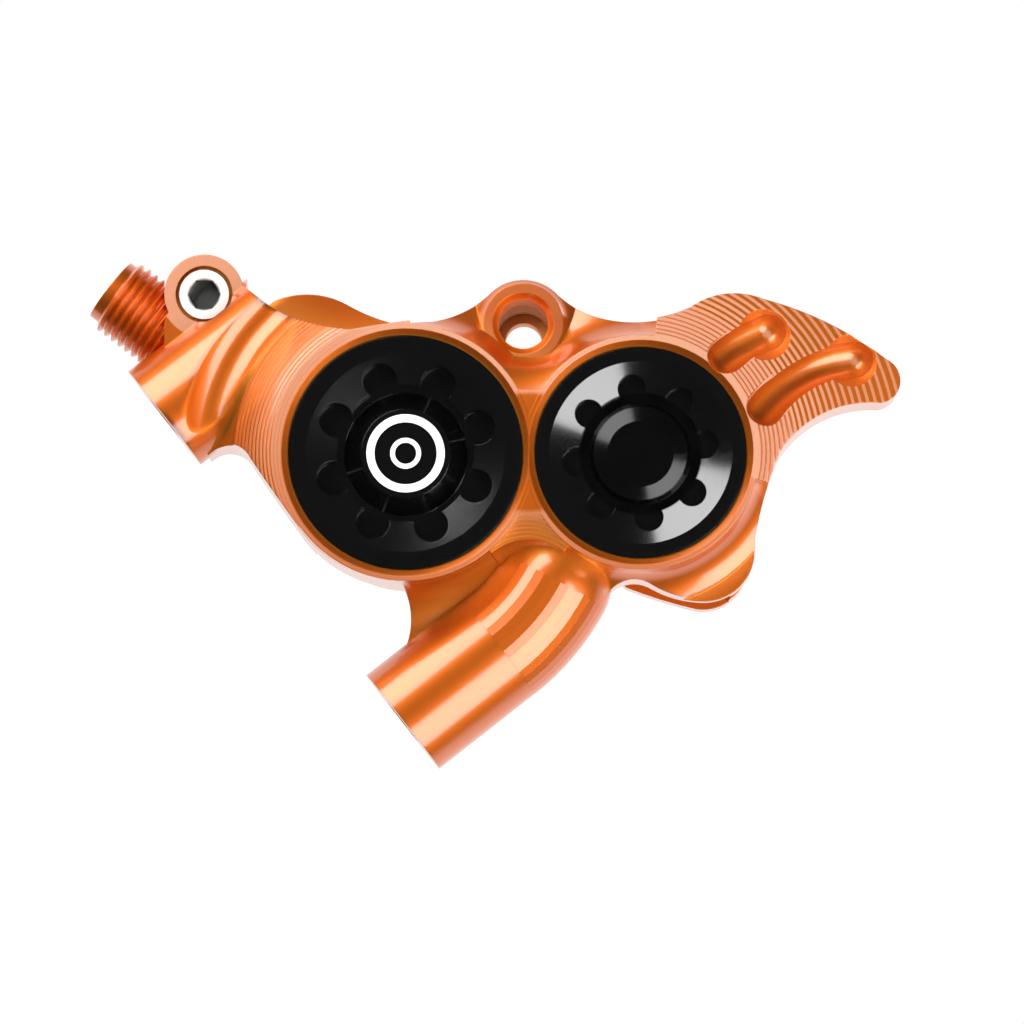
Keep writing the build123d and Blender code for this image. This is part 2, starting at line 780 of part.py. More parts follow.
# Bleed screw with a hexagon socket, and its seal round the neck
head_top = bleed_lug_height - bleed_counterbore_depth + bleed_head_height
head_foot = bleed_lug_height - bleed_counterbore_depth + seat_clearance
neck_radius = bleed_thread_radius - 2 * bleed_seal_radius
neck_foot = head_foot - 2 * bleed_seal_radius - seat_clearance
screw_end = bleed_lug_height - bleed_length + seat_clearance
with BuildPart() as bleed_screw:
    turned(
        bleed_place,
        [
            (0, head_top),
            (bleed_head_radius, head_top),
            (bleed_head_radius, head_foot),
            (neck_radius - seat_clearance, head_foot),
            (neck_radius - seat_clearance, neck_foot),
            (bleed_thread_radius, neck_foot),
            (bleed_thread_radius, screw_end + bleed_thread_radius / 2),
            (bleed_thread_radius / 2, screw_end),
            (0, screw_end),
        ],
    )
    with BuildSketch(level(head_top - bleed_hex_depth)):
        with Locations(bleed_place):
            RegularPolygon(bleed_hex / 2, hex_sides, major_radius=False)
    extrude(amount=bleed_hex_depth, mode=Mode.SUBTRACT)
    with BuildSketch(radial(bleed_place, 0)):
        with BuildLine():
            Polyline(
                (0, head_top - bleed_sink_depth),
                (bleed_hex / 2, head_top - bleed_sink_depth),
                (bleed_sink_radius, head_top),
                (0, head_top),
                close=True,
            )
        make_face()
    revolve(axis=axle_axis(bleed_place), mode=Mode.SUBTRACT)
bleed_screw.part.label = "bleed_screw"
export_step(bleed_screw.part, "parts/bleed_screw.step")

with BuildPart() as bleed_seal:
    with Locations(Location(level(head_foot - bleed_seal_radius - seat_clearance / 2))):
        with Locations(bleed_place):
            Torus(neck_radius + bleed_seal_radius, bleed_seal_radius)
bleed_seal.part.label = "bleed_seal"
export_step(bleed_seal.part, "parts/bleed_seal.step")
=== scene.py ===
import json
import math

import bmesh
import bpy
from bpy.props import FloatProperty, FloatVectorProperty, IntProperty, PointerProperty
from mathutils import Matrix, Vector


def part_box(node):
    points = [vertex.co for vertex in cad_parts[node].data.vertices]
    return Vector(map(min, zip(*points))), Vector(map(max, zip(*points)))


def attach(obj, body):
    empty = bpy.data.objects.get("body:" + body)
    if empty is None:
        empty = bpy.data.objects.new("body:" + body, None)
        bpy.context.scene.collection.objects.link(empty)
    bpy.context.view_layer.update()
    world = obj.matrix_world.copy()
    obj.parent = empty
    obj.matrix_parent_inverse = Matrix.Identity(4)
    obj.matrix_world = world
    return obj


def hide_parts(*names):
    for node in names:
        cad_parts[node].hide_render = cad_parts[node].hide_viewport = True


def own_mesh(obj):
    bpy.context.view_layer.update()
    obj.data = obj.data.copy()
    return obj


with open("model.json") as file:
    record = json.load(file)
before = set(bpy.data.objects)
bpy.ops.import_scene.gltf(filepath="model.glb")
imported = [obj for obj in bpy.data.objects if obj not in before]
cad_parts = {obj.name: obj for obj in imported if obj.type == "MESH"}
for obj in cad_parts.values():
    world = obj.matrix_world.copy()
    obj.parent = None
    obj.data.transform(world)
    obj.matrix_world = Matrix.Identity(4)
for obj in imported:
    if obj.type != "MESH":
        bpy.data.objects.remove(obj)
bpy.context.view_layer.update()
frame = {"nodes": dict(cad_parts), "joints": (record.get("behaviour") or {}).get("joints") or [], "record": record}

bl_info = {
    "name": "Disc brake caliper finish",
    "version": (1, 0, 0),
    "blender": (4, 5, 0),
    "location": "3D View > Sidebar > Caliper",
    "description": "Dresses the packed disc brake caliper with its finishes, threads and studio",
    "category": "Object",
}

# Places read from the frame. All lengths are metres in the frame of the part.
MM = 0.001
AXLE = Vector((0, 1, 0))
MOUNTS = {mount["name"]: mount for mount in frame["record"]["mounts"]}


def middle(node):
    """The middle of a node's box."""
    low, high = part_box(node)
    return (low + high) / 2


def bore_axis(node):
    """The point where a turned node's axis meets the plane of the mounting holes."""
    centre = middle(node)
    return Vector((centre.x, 0, centre.z))


LARGE_BORE = bore_axis("bore_cap_large")
SMALL_BORE = bore_axis("bore_cap_small")
BORE_MIDDLE = (LARGE_BORE + SMALL_BORE) / 2
U_DIR = (SMALL_BORE - LARGE_BORE).normalized()
W_DIR = -AXLE
V_DIR = W_DIR.cross(U_DIR)
FACE_HEIGHT = -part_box("caliper_body")[0].y
ROTOR_PLANE = -(middle("pad_lining_outer").y + middle("pad_lining_inner").y) / 2
BLEED_AXIS = bore_axis("bleed_screw")
PIN_AXIS = Vector((MOUNTS["pin_bore"]["pos_m"][0], 0, MOUNTS["pin_bore"]["pos_m"][2]))
PIN_RADIUS = MOUNTS["pin_bore"]["dims"]["r_mm"]
LARGE_CAP_RADIUS = (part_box("bore_cap_large")[1].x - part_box("bore_cap_large")[0].x) / 2
SMALL_CAP_RADIUS = (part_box("bore_cap_small")[1].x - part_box("bore_cap_small")[0].x) / 2
BRIDGE_MIDDLE = BORE_MIDDLE + U_DIR * (LARGE_CAP_RADIUS - SMALL_CAP_RADIUS) / 2
TAIL_DIR = (U_DIR * math.cos(math.radians(35)) + V_DIR * math.sin(math.radians(35))).normalized()


# Zones of the body in millimetres: where each begins and where it is full.
TAIL_EDGE = (6.4, 6.8)
TAIL_BOSS_EDGE = (10.4, 10.8)
TAIL_TIP = (13.0, 20.0)
LUG_EDGE = (3.7, 3.9)
LUG_HEIGHT = (1.9, 2.1)
EAR_EDGE = (4.4, 4.8)
BRIDGE_EDGE = (4.9, 5.5)
SHOULDER_END = (-7.0, -1.0)
RIM_SHEEN_SPAN = (-16.0, 11.0)
RIM_TOP = (6.2, 7.0)
RIM_FOOT = (5.0, 7.0)
STUB_END = (-31.3, -30.9)
STUB_SIDE = (8.5, 9.5)
REAMED_EDGE = (PIN_RADIUS, PIN_RADIUS + 0.2)

# The cove beside the front post: its middle in the plane of the bores, half its length and width
# in millimetres, the cosine and sine of its turn, and the shares of it over which its soft rim
# fades.
COVE_PLACE = (-25.7 * MM, 7.6 * MM)
COVE_LENGTH = 6.8
COVE_WIDTH = 3.4
COVE_TURN = (0.6, 0.8)
COVE_FADE = (1.0, 1.3)

# Pitches of the fine treads on the rims and of the turned lines on the steel pieces.
TREAD_PITCH = 0.3 * MM
TURNED_PITCH = 0.12 * MM

# Facings of the body, as the share of the normal that points to the outer side, and the shares
# of what is hidden from a point within RECESS_REACH.
FLAT_FACING = (0.965, 0.99)
WALL_FACING = (0.5, 0.8)
SLOPE_FACING = (0.3, 0.5)
RECESS_REACH = 5 * MM
# HOLLOW bounds the painted lift of the shade in recesses.
HOLLOW = (0.1, 0.7)
POCKET = (0.3, 0.5)
DEEP = (0.6, 0.9)

# Radius of the dull middle of a cap, and over how much its gloss begins, in millimetres.
GLOSS_TO_CENTRE = 0.0
SMALL_CAP_DULL = 5.5
GLOSS_BLEND = 0.3

# How much wider the coarse turned lines of a cap lie than the fine ones.
COARSE_TURNING = 3.7

# Depths under the bleed screw's top, in millimetres: where its painted highlight on the rim begins and is full;
# deeper, the socket is painted dark as shade.
SCREW_LIT_RIM = (0.34, 0.02)

# Radii of the broken edges of the caps, the steel pieces and the bleed screw.
CAP_EDGE = 0.12 * MM
STEEL_EDGE = 0.1 * MM
SCREW_EDGE = 0.06 * MM

# Profiles of the webs between the bores in millimetres: inset from the edge, drop from the face.
FLUSH = 0.01
UPPER_WEB = [
    (4.2, FLUSH),
    (2.1, FLUSH),
    (1.6, 0.12),
    (1.0, 0.4),
    (0.45, 0.75),
    (0.0, 1.15),
    (-0.12, 1.9),
    (-0.3, 2.8),
    (-0.6, 3.6),
    (-1.1, 4.2),
    (-1.7, 4.6),
]
LOWER_WEB_START = (4.4, FLUSH)
LOWER_WEB_FOOT = [(-0.4, 3.0), (-1.0, 4.2), (-1.6, 5.2)]
TREADS_WIDTH = 2.1
TREAD_DROP = 0.3

# A thread's profile, as shares of its pitch: where its crest is full, ends and has come down.
CREST_RISE = 0.36
CREST_END = 0.48
CREST_FOOT = 0.84

# Turns over which a thread rises at its start and falls at its end.
LEAD_IN = 0.35
RUN_OUT = 0.2
THREAD_OVERLAP = 0.02 * MM
STUB_SEAT = 0.35 * MM
HOLE_LEAD = 0.5 * MM

# The pad spring: its gauge, half the width of its legs, the radius of its corners, the width of
# its arms, and how much of that an arm loses towards its end.
SPRING_GAUGE = 0.3 * MM
SPRING_LEG = 1.5 * MM
SPRING_BEND = 0.9 * MM
BEND_STEPS = 6
SPRING_ARM_WIDTH = 1.7 * MM
SPRING_TAPER = 0.35

# Where a spring arm starts, as a share of half a leg's width, and the arm's stations: share of
# its length, and curl inwards in millimetres.
SPRING_SHOULDER = 0.9
SPRING_ARM = [(0, 0), (0.5, 0), (0.8, 0), (0.93, 0.12), (1.0, 0.4)]

# Soft boxes: heading from the line of the bores, lean from the viewing axis and spread in
# degrees, and length as a share of the distance.
SOFT_BOXES = {
    "soft_box_left": (129, 54, 46, 0.8),
    "soft_box_right": (-40, 47, 46, 0.62),
}

# The box behind the part: its place and width as shares of the soft boxes' distance.
BACK_BOX_PLACE = Vector((0.7, 1.2, 1.5))
BACK_BOX_WIDTH = 1.2
BACK_BOX_GLOW = 1.1

# What the camera looks at, and where it stands, in the plane of the bores.
CAMERA_TARGET = (-0.96 * MM, -5.24 * MM)
CAMERA_PLACE = (2.79 * MM, -67.4 * MM)
SENSOR_WIDTH = 36.0

# Brightness of the room in reflections and for soft light, and the span over which reflections
# turn from the dim room in front of the part to the white one behind it.
DIM_ROOM = 0.02
SOFT_ROOM = 0.9
BACKDROP_EDGE = (0.05, 0.4)

# Radius of the floor, and the share of plain white in it that the camera sees.
FLOOR_RADIUS = 0.26
FLOOR_WHITE = 0.72


def plan_point(right, up, height):
    """A point from its place in the plane of the bores and its height towards the outer side."""
    return BORE_MIDDLE + U_DIR * right + V_DIR * up + W_DIR * height


def plan_coordinates(point):
    """The place of a point in the plane of the bores, and its height."""
    offset = point - BORE_MIDDLE
    return Vector((offset.dot(U_DIR), offset.dot(V_DIR), offset.dot(W_DIR)))


class CaliperFinish(bpy.types.PropertyGroup):
    """Colours and surface sizes of the finishes."""

    orange: FloatVectorProperty(
        name="Orange",
        description="Dyed anodising of the body",
        default=(0.86, 0.18, 0.01),
        size=3,
        subtype="COLOR",
    )
    # Painted light: a lighter orange painted into shaded pockets and grooves, lifting their shade and the red of
    # light bounced between their walls.
    shaded_recess: FloatVectorProperty(
        name="Orange in recesses",
        description="Paler dye in the pockets and grooves",
        default=(0.95, 0.36, 0.04),
        size=3,
        subtype="COLOR",
    )
    # Painted reflection: the cut finish of these flats is real, but their pale pink colour stands in for the white
    # room they reflect.
    faced_sheen: FloatVectorProperty(
        name="Faced orange",
        description="Paler tone of the faced and turned flats",
        default=(0.82, 0.4, 0.245),
        size=3,
        subtype="COLOR",
    )
    black: FloatVectorProperty(
        name="Black",
        description="Anodising of the bore caps",
        default=(0.0013, 0.0013, 0.0015),
        size=3,
        subtype="COLOR",
    )
    edge_round: FloatProperty(
        name="Edge round",
        description="Radius of the broken edges of the machined body",
        default=0.16 * MM,
        unit="LENGTH",
    )
    cove_round: FloatProperty(
        name="Cove round",
        description="Radius of the soft rim of the cove beside the front post",
        default=0.9 * MM,
        unit="LENGTH",
    )
    tool_pitch: FloatProperty(
        name="Tool pitch",
        description="Distance between the lines that the milling cutter leaves",
        default=0.33 * MM,
        unit="LENGTH",
    )
    lathe_pitch: FloatProperty(
        name="Lathe pitch",
        description="Distance between the turned lines of the caps",
        default=0.13 * MM,
        unit="LENGTH",
    )


class CaliperThread(bpy.types.PropertyGroup):
    """Sizes of the modelled threads."""

    stub_run: FloatProperty(
        name="Stub thread run",
        description="Length of the hose stub's thread, into the body",
        default=6.9 * MM,
        unit="LENGTH",
    )
    stub_lead: FloatProperty(
        name="Stub thread lead",
        description="How far the thread starts before the seat of the nut",
        default=0.65 * MM,
        unit="LENGTH",
    )
    stub_pitch: FloatProperty(
        name="Stub pitch",
        description="Pitch of the hose stub's thread",
        default=0.75 * MM,
        unit="LENGTH",
    )
    stub_crest: FloatProperty(
        name="Stub crest height",
        description="Height of the hose stub's crests over the thread's root",
        default=0.4 * MM,
        unit="LENGTH",
    )
    hole_pitch: FloatProperty(
        name="Mounting thread pitch",
        description="Pitch of the threads in the mounting holes",
        default=0.8 * MM,
        unit="LENGTH",
    )
    hole_run: FloatProperty(
        name="Mounting thread run",
        description="Depth of the threads in the mounting holes",
        default=9.6 * MM,
        unit="LENGTH",
    )
    hole_crest: FloatProperty(
        name="Mounting thread height",
        description="Height of the ridges in the mounting holes",
        default=0.24 * MM,
        unit="LENGTH",
    )
    turn_steps: IntProperty(
        name="Steps per turn",
        description="Facets of a thread in one turn",
        default=48,
    )


class CaliperBridge(bpy.types.PropertyGroup):
    """Sizes of the two webs between the bores."""

    wall: FloatProperty(
        name="Wall",
        description="From a cap's edge to the side of a web, inside the bore's ring",
        default=0.75 * MM,
        unit="LENGTH",
    )
    foot: FloatProperty(
        name="Foot height",
        description="Height of the webs' feet inside the body",
        default=1.0 * MM,
        unit="LENGTH",
    )
    upper_edge: FloatProperty(
        name="Upper edge",
        description="From the line of the bores to the scoop over the upper web",
        default=7.3 * MM,
        unit="LENGTH",
    )
    upper_radius: FloatProperty(
        name="Upper radius",
        description="Radius of the scoop over the upper web",
        default=7.3 * MM,
        unit="LENGTH",
    )
    lower_edge: FloatProperty(
        name="Lower edge",
        description="From the line of the bores to the end of the lower web",
        default=7.5 * MM,
        unit="LENGTH",
    )
    lower_radius: FloatProperty(
        name="Lower radius",
        description="Radius of the turned treads on the lower web",
        default=5.0 * MM,
        unit="LENGTH",
    )
    treads: IntProperty(
        name="Treads",
        description="Turned treads on the lower web",
        default=6,
    )


class CaliperMark(bpy.types.PropertyGroup):
    """Sizes of the plain printed rings on the large cap."""

    outer_radius: FloatProperty(
        name="Outer radius",
        description="Outer radius of the printed ring",
        default=3.42 * MM,
        unit="LENGTH",
    )
    band: FloatProperty(
        name="Band",
        description="Width of the printed ring",
        default=0.7 * MM,
        unit="LENGTH",
    )
    centre_radius: FloatProperty(
        name="Centre radius",
        description="Outer radius of the small ring in the middle",
        default=1.35 * MM,
        unit="LENGTH",
    )
    centre_band: FloatProperty(
        name="Centre band",
        description="Width of the small ring in the middle",
        default=0.42 * MM,
        unit="LENGTH",
    )
    ink: FloatProperty(
        name="Ink thickness",
        description="Height of the ink over the cap",
        default=0.02 * MM,
        unit="LENGTH",
    )
    sink: FloatProperty(
        name="Sink",
        description="Depth of the printed hub under the cap's rim",
        default=0.9 * MM,
        unit="LENGTH",
    )


class CaliperStage(bpy.types.PropertyGroup):
    """The floor, the soft boxes and the camera."""

    camera_distance: FloatProperty(
        name="Camera distance",
        description="From the camera to the outer face",
        default=0.8,
        unit="LENGTH",
    )
    frame_width: FloatProperty(
        name="Frame width",
        description="Width of the picture at the outer face",
        default=89.15 * MM,
        unit="LENGTH",
    )
    box_glow: FloatProperty(
        name="Soft box glow",
        description="Radiance of the two soft boxes",
        default=4.6,
    )
    box_distance: FloatProperty(
        name="Soft box distance",
        description="From the caliper to a soft box",
        default=0.4,
        unit="LENGTH",
    )
    floor_drop: FloatProperty(
        name="Floor drop",
        description="Depth of the floor under the mounting face",
        default=60 * MM,
        unit="LENGTH",
    )


GROUPS = {
    "caliper_finish": CaliperFinish,
    "caliper_thread": CaliperThread,
    "caliper_bridge": CaliperBridge,
    "caliper_mark": CaliperMark,
    "caliper_stage": CaliperStage,
}


class Socket:
    """A node's output. Arithmetic on it adds Math nodes."""

    def __init__(self, graph, output):
        self.graph = graph
        self.output = output

    def math(self, operation, *values):
        """Adds one Math node."""
        return self.graph.add("ShaderNodeMath", {"operation": operation}, dict(enumerate(values)))

    def __add__(self, other):
        return self.math("ADD", self, other)

    def __radd__(self, other):
        return self.math("ADD", other, self)

    def __sub__(self, other):
        return self.math("SUBTRACT", self, other)

    def __rsub__(self, other):
        return self.math("SUBTRACT", other, self)

    def __mul__(self, other):
        return self.math("MULTIPLY", self, other)

    def __rmul__(self, other):
        return self.math("MULTIPLY", other, self)

    def __neg__(self):
        return self.math("MULTIPLY", self, -1.0)

    def sine(self):
        return self.math("SINE", self)

    def root(self):
        return self.math("SQRT", self)

    def larger(self, other):
        return self.math("MAXIMUM", self, other)

    def between(self, low, high):
        """Rises smoothly from 0 at low to 1 at high."""
        inputs = {"Value": self, "From Min": low, "From Max": high}
        return self.graph.add("ShaderNodeMapRange", {"interpolation_type": "SMOOTHSTEP"}, inputs)


class Graph:
    """The nodes of one material or of the world."""

    def __init__(self, tree):
        self.tree = tree
        tree.nodes.clear()

    def add(self, kind, settings=None, inputs=None, output=0):
        """Adds a node from its type, its settings and the values or links of its sockets."""
        node = self.tree.nodes.new(kind)
        for name, value in (settings or {}).items():
            setattr(node, name, value)
        for name, value in (inputs or {}).items():
            socket = node.inputs[name]
            if isinstance(value, Socket):
                self.tree.links.new(value.output, socket)
            else:
                socket.default_value = value
        return Socket(self, node.outputs[output] if len(node.outputs) else None)

    def blend(self, factor, first, second):
        """A colour between two colours."""
        inputs = {0: factor, 6: first, 7: second}
        return self.add("ShaderNodeMix", {"data_type": "RGBA"}, inputs, output=2)

    def parts(self, vector):
        """The three numbers of a vector."""
        node = self.add("ShaderNodeSeparateXYZ", inputs={0: vector}).output.node
        return [Socket(self, output) for output in node.outputs]

    def noise(self, vector, scale, detail=2.0):
        """A cloudy value between 0 and 1."""
        inputs = {"Vector": vector, "Scale": scale, "Detail": detail}
        return self.add("ShaderNodeTexNoise", inputs=inputs)


class Finish(Graph):
    """One material: its graph and its shader."""

    def __init__(self, name):
        self.material = bpy.data.materials.new(name)
        self.material.use_nodes = True
        super().__init__(self.material.node_tree)
        self.place = self.add("ShaderNodeTexCoord", output="Object")
        self.facing = self.add("ShaderNodeTexCoord", output="Normal")

    def distance(self, centre):
        """The distance in millimetres from an axis along the axle."""
        x, _, z = self.parts(self.place)
        across = x - centre.x
        along = z - centre.z
        return (across * across + along * along).root() * (1 / MM)

    def along(self, start, direction):
        """The distance in millimetres from a start point along a direction."""
        inputs = {0: self.place, 1: direction}
        reach = self.add("ShaderNodeVectorMath", {"operation": "DOT_PRODUCT"}, inputs, output=1)
        return (reach - start.dot(direction)) * (1 / MM)

    def rings(self, centre, pitch):
        """A wave with a crest each pitch from an axis, between 0 and 1."""
        return (self.distance(centre) * (2 * math.pi * MM / pitch)).sine() * 0.5 + 0.5

    def shade(self, **inputs):
        """Adds the shader and the output. An underscore in a name stands for a space."""
        sockets = {name.replace("_", " "): value for name, value in inputs.items()}
        shader = self.add("ShaderNodeBsdfPrincipled", inputs=sockets)
        self.add("ShaderNodeOutputMaterial", inputs={"Surface": shader})
        return self.material

    def relief(self, height, depth, strength=1.0, normal=None):
        """A normal bumped by a height between 0 and 1 of that depth in metres."""
        inputs = {"Height": height, "Distance": depth, "Strength": strength}
        if normal is not None:
            inputs["Normal"] = normal
        return self.add("ShaderNodeBump", inputs=inputs)


def opaque(colour):
    """A colour with its alpha."""
    return (*colour, 1.0)


def faced_sheen_zones(f, flat, tail, height):
    """Where the painted sheen of the facing-cut flats shows, standing in for the white room they reflect: the bore
    rims, the tail's treads, the lug and the ear.
    """
    # On the lug and the ear the pale tone is painted light that lifts the shade cast by the bosses around them.
    lug = (1 - f.distance(BLEED_AXIS).between(*LUG_EDGE)) * height.between(*LUG_HEIGHT)
    ear = 1 - f.distance(PIN_AXIS).between(*EAR_EDGE)
    tip = f.distance(SMALL_BORE).between(*TAIL_TIP)
    # Painted light: the sheen on the rims grows towards their top, where more light falls.
    upper = f.along(BORE_MIDDLE, V_DIR).between(*RIM_SHEEN_SPAN)
    bridge = f.distance(BRIDGE_MIDDLE).between(*BRIDGE_EDGE)
    crown = height.between(*RIM_TOP) * 0.6 + height.between(*RIM_FOOT) * 0.4
    shoulder = 1 - f.along(LARGE_BORE, U_DIR).between(*SHOULDER_END)
    treads = f.rings(LARGE_BORE, TREAD_PITCH) * shoulder
    rims = crown * bridge * (0.3 + upper * 0.7) * (1 - treads * 0.4)
    return flat * rims.larger(tail * (1 - tip * 0.35)).larger(lug * 0.85).larger(ear * 0.2)


def broken_edges(f, sizes):
    """A normal that rounds the body's edges a little and the rim of the cove more."""
    edge = f.add("ShaderNodeBevel", {"samples": 6}, {"Radius": sizes.edge_round})
    soft = f.add("ShaderNodeBevel", {"samples": 8}, {"Radius": sizes.cove_round})
    cove = plan_point(*COVE_PLACE, 0)
    cosine, sine = COVE_TURN
    lengthways = f.along(cove, U_DIR * cosine + V_DIR * sine) * (1 / COVE_LENGTH)
    sideways = f.along(cove, U_DIR * sine - V_DIR * cosine) * (1 / COVE_WIDTH)
    oval = (lengthways * lengthways + sideways * sideways).root()
    return f.blend(1 - oval.between(*COVE_FADE), edge, soft)


def orange_finish(sizes):
    """Orange anodised, milled body: painted pale sheen on the turned flats, painted lift of the shade in recesses,
    tool lines and softly broken edges.
    """
    f = Finish("orange_anodise")
    height = f.parts(f.place)[1] * (-1 / MM)
    outward = -f.parts(f.facing)[1]
    flat = outward.between(*FLAT_FACING)
    tail = f.along(SMALL_BORE, TAIL_DIR).between(*TAIL_EDGE)
    faced_sheen = faced_sheen_zones(f, flat, tail, height)
    grain = f.noise(f.place, scale=3800.0, detail=3.0)
    cloud = f.noise(f.place, scale=90.0)
    dye_and_lift = f.blend(cloud * 0.3, opaque(sizes.orange), opaque([c * 0.85 for c in sizes.orange]))
    reach = {"Distance": RECESS_REACH}
    shaded_recess = 1 - f.add("ShaderNodeAmbientOcclusion", {"samples": 8}, reach, output=1)
    beside = f.along(BORE_MIDDLE, V_DIR).between(*STUB_SIDE)
    stub = (1 - f.along(BORE_MIDDLE, U_DIR).between(*STUB_END)) * beside
    hollow_lift = shaded_recess.between(*HOLLOW) * (1 - stub) * (1 - tail * 0.4)
    reamed = 1 - f.distance(PIN_AXIS).between(*REAMED_EDGE)
    ridged = tail * f.distance(SMALL_BORE).between(*TAIL_BOSS_EDGE)
    sloped = (1 - flat) * outward.between(*SLOPE_FACING)
    slopes = ridged * sloped * (1 - shaded_recess.between(*POCKET))
    # Painted light: a lighter orange lifts the shade in hollows and, a little, on the tail's ridge slopes; less
    # metal there (matt) lifts it too.
    dye_and_lift = f.blend(hollow_lift.larger(slopes * 0.1), dye_and_lift, opaque(sizes.shaded_recess))
    wall = 1 - outward.between(*WALL_FACING)
    passes = (height * (2 * math.pi * MM / sizes.tool_pitch)).sine() * 0.5 + 0.5
    turned = f.rings(LARGE_BORE, sizes.tool_pitch * 0.5)
    lines = passes * wall * 0.35 + turned * flat * 0.25 + grain * 0.5
    matt = faced_sheen * 0.45 + hollow_lift * (0.1 + flat * 0.36) + reamed.larger(slopes * 0.55) * 0.36
    return f.shade(
        # Painted reflection: the flats turn pale pink where the white room would be reflected.
        Base_Color=f.blend(faced_sheen * 0.92, dye_and_lift, opaque(sizes.faced_sheen)),
        Metallic=0.92 - matt,
        Roughness=0.46 + grain * 0.07,
        Normal=f.relief(lines, 0.006 * MM, 0.5, broken_edges(f, sizes)),
        Coat_Weight=1 - reamed.larger(shaded_recess.between(*DEEP)),
        Coat_Roughness=0.17,
        Coat_IOR=1.8,
    )


def black_finish(name, centre, dull_radius, sizes):
    """Gloss black anodised cap, turned about its axis and duller within a radius in millimetres."""
    f = Finish(name)
    rings = f.rings(centre, sizes.lathe_pitch)
    coarse = f.rings(centre, sizes.lathe_pitch * COARSE_TURNING)
    gloss = f.distance(centre).between(dull_radius - GLOSS_BLEND, dull_radius)
    grain = f.noise(f.place, scale=900.0)
    edge = f.add("ShaderNodeBevel", {"samples": 4}, {"Radius": CAP_EDGE})
    return f.shade(
        Base_Color=f.blend(grain, opaque(sizes.black), opaque([c * 1.6 for c in sizes.black])),
        Roughness=0.12 + rings * 0.05,
        IOR=1.5,
        Coat_Weight=gloss,
        Coat_Roughness=0.12,
        Coat_IOR=1.86,
        Normal=f.relief(rings * 0.6 + coarse * 0.4, 0.0015 * MM, 0.4, edge),
    )


def steel_finish(name, colour, roughness, centre=None):
    """Bare or plated steel with a fine grain, and turned lines where it has an axis."""
    f = Finish(name)
    grain = f.noise(f.place, scale=3000.0, detail=3.0)
    relief = grain
    if centre is not None:
        relief = grain * 0.5 + f.rings(centre, TURNED_PITCH) * 0.5
    cloud = f.noise(f.place, scale=260.0)
    tone = f.blend(cloud * 0.5, opaque(colour), opaque([c * 0.8 for c in colour]))
    edge = f.add("ShaderNodeBevel", {"samples": 4}, {"Radius": STEEL_EDGE})
    return f.shade(
        Base_Color=tone,
        Metallic=1.0,
        Roughness=roughness + grain * 0.12,
        Normal=f.relief(relief, 0.004 * MM, 0.6, edge),
    )


def rubber_finish():
    """Matt black seal rubber."""
    f = Finish("seal_rubber")
    grain = f.noise(f.place, scale=2200.0, detail=3.0)
    return f.shade(
        Base_Color=f.blend(grain, (0.012, 0.012, 0.012, 1), (0.03, 0.03, 0.03, 1)),
        Roughness=0.55 + grain * 0.15,
        Normal=f.relief(grain, 0.01 * MM, 0.4),
    )


def moulded_finish():
    """Brown moulded phenolic of the pistons' noses, with short fibres."""
    f = Finish("insert_phenolic")
    fibre = f.noise(f.place, scale=1500.0, detail=4.0).between(0.42, 0.62)
    return f.shade(
        Base_Color=f.blend(fibre, (0.10, 0.045, 0.02, 1), (0.20, 0.11, 0.055, 1)),
        Roughness=0.5 + fibre * 0.15,
        Normal=f.relief(fibre, 0.012 * MM, 0.5),
    )


def lining_finish():
    """Granular friction compound: dark binder, bright metal chips and pale mineral grains."""
    f = Finish("lining_compound")
    grains = f.add("ShaderNodeTexVoronoi", inputs={"Vector": f.place, "Scale": 1700.0}, output="Color")
    pick = f.parts(grains)[0]
    chip = pick.between(0.86, 0.9)
    mineral = (1 - pick).between(0.82, 0.86)
    binder = f.noise(f.place, scale=700.0, detail=4.0)
    base = f.blend(binder, (0.045, 0.036, 0.03, 1), (0.12, 0.10, 0.085, 1))
    colour = f.blend(chip, f.blend(mineral, base, (0.28, 0.23, 0.17, 1)), (0.62, 0.44, 0.24, 1))
    pits = f.noise(f.place, scale=2400.0, detail=4.0)
    return f.shade(
        Base_Color=colour,
        Metallic=chip,
        Roughness=0.82 - chip * 0.4,
        Normal=f.relief(pits + chip * 0.3, 0.03 * MM, 0.8),
    )


def ink_finish():
    """White printing ink."""
    f = Finish("cap_ink")
    grain = f.noise(f.place, scale=4200.0, detail=3.0)
    return f.shade(
        Base_Color=f.blend(grain.between(0.5, 0.75), (0.92, 0.92, 0.91, 1), (0.74, 0.74, 0.73, 1)),
        Roughness=0.5 + grain * 0.2,
        Normal=f.relief(grain, 0.006 * MM, 0.5),
    )


def dress(node, material):
    """Gives a node its material."""
    obj = frame["nodes"][node]
    obj.data.materials.clear()
    obj.data.materials.append(material)


def keep_mesh(name, bm, material, body, smooth=35):
    """Makes a piece from a bmesh, gives it its finish and lets it ride on a body."""
    bmesh.ops.recalc_face_normals(bm, faces=bm.faces)
    mesh = bpy.data.meshes.new(name)
    bm.to_mesh(mesh)
    bm.free()
    piece = bpy.data.objects.new(name, mesh)
    bpy.context.scene.collection.objects.link(piece)
    mesh.materials.append(material)
    for polygon in mesh.polygons:
        polygon.use_smooth = True
    mesh.set_sharp_from_angle(angle=math.radians(smooth))
    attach(piece, body)
    return piece


def axis_frame(start, axis):
    """A matrix whose z runs along an axis from a start point."""
    turn = axis.to_track_quat("Z", "Y").to_matrix().to_4x4()
    return Matrix.Translation(start) @ turn


def on_circle(radius, angle, height):
    """A point at an angle about the z axis."""
    return Vector((radius * math.cos(angle), radius * math.sin(angle), height))


def join_rings(bm, first, second):
    """Adds the faces between two closed rings of points."""
    for index in range(len(first)):
        after = (index + 1) % len(first)
        bm.faces.new((first[index], first[after], second[after], second[index]))


